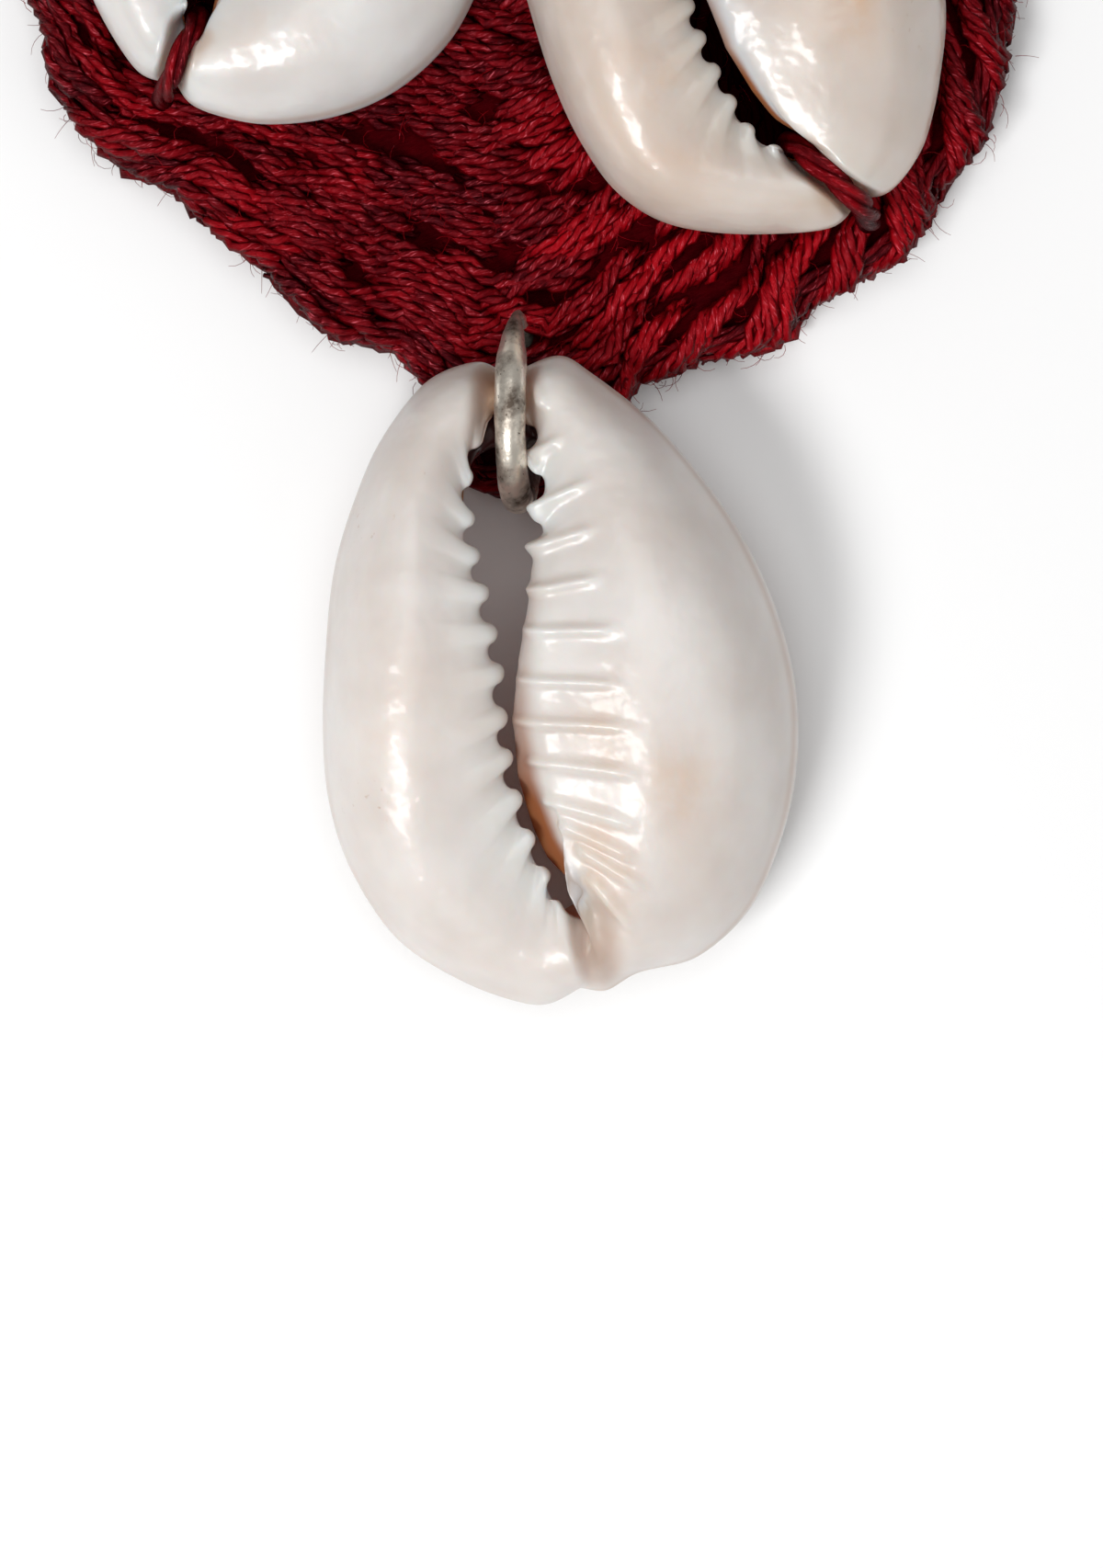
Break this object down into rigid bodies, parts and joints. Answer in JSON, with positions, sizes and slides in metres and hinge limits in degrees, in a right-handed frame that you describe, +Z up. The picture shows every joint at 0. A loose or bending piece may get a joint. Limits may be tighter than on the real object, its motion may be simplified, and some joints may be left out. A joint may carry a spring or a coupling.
{
  "type": "cowrie shell earring",
  "caption": "Drop earring lying flat: crocheted burgundy medallion with sewn cowries, a cowrie hung from a worn jump ring and a plain ear wire.",
  "frame": {"origin": "middle of the crocheted medallion's flat back face", "axes": "+Z up out of the back face towards the shells' toothed sides, +Y from the hanging cowrie towards the ear wire, +X to the right as seen from above"},
  "size_m": [0.0336, 0.0753, 0.0085],
  "materials": {
    "yarn": "plied burgundy yarn, crocheted, with light fuzz",
    "shell": "natural glossy cowrie, ivory with tan and grey stains",
    "worn_metal": "worn champagne silver with dark patches",
    "thread": "plied burgundy sewing yarn"
  },
  "bodies": {
    "root": {"medallion": "yarn", "shell_left": "shell", "shell_right": "shell", "shell_drop": "shell", "jump_ring": "worn_metal", "ear_hook": "worn_metal", "thread_left_low": "thread", "thread_left_high": "thread", "thread_right_low": "thread", "thread_right_high": "thread"}
  },
  "joints": []
}
